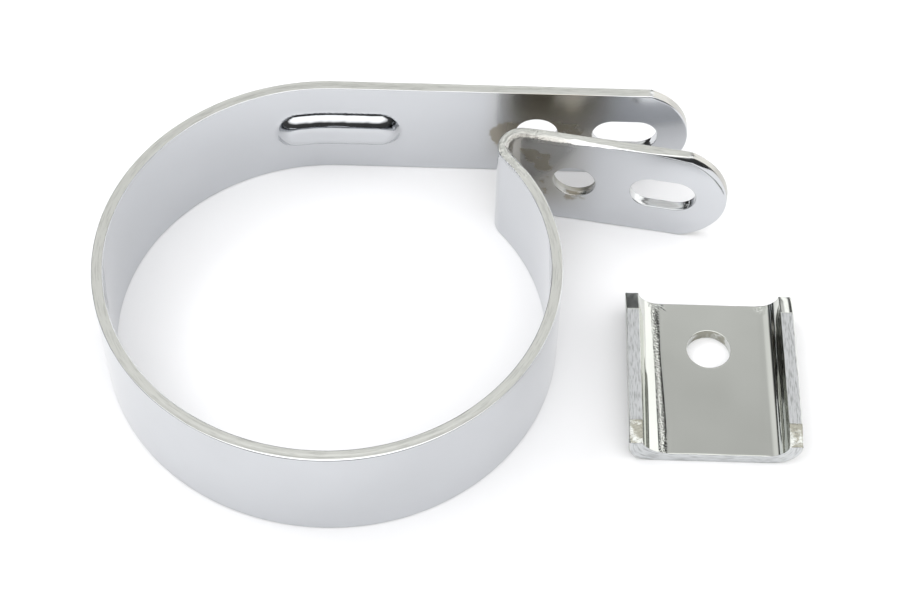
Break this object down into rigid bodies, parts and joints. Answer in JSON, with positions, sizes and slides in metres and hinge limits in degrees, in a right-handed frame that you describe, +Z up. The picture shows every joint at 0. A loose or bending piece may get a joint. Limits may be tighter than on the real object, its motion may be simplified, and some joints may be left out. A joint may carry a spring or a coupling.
{
  "type": "muffler clamp",
  "caption": "Chrome strap clamp for a motorcycle muffler: a ring bent from flat strip with slotted bolt ears, and a loose channel-shaped saddle plate.",
  "frame": {"origin": "on the surface the pieces lie on, under the middle of the box around both", "axes": "+X along the straight back ear towards its tip, +Y from the ring's front to the back ear, +Z up, along the muffler's axis"},
  "size_m": [0.1632, 0.1074, 0.0295],
  "materials": {
    "strap_chrome": "bright chrome plate on bent steel strip, with duller sheared edges",
    "saddle_chrome": "bright chrome plate on folded steel plate, with duller sheared edges"
  },
  "bodies": {
    "strap": {"clamp_strap": "strap_chrome"},
    "saddle": {"saddle_plate": "saddle_chrome"}
  },
  "joints": [
    {"name": "saddle_lift", "type": "slide", "parent": "strap", "child": "saddle", "axis": [0, 0, 1], "range_m": [0, 0.06]}
  ]
}
